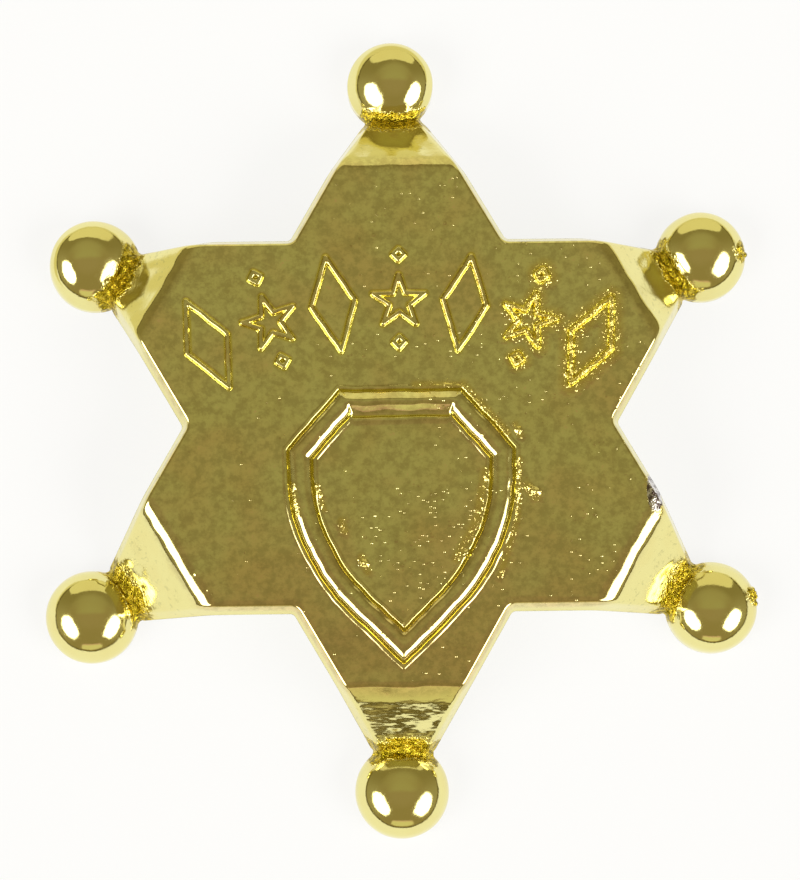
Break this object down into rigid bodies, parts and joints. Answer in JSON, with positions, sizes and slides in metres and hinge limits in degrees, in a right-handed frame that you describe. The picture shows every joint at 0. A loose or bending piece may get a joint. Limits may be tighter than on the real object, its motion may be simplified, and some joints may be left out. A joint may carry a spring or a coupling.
{
  "type": "sheriff star badge",
  "caption": "Cast star badge with ball-tipped, down-sloping arms, a raised shield moulding, an arc of raised motifs and a brooch pin riveted behind it.",
  "frame": {"origin": "centre of the base plane that the six balls rest on", "axes": "+Z out of the badge's face, +Y to the top ball, +X to the wearer's left as a viewer sees the right"},
  "size_m": [0.0602, 0.0684, 0.0083],
  "materials": {
    "gold_plate": "worn bright gold plate, lightly pitted",
    "pin_steel": "dull plated steel"
  },
  "bodies": {
    "root": {"star_casting": "gold_plate", "bar_pin": "pin_steel"}
  },
  "joints": []
}
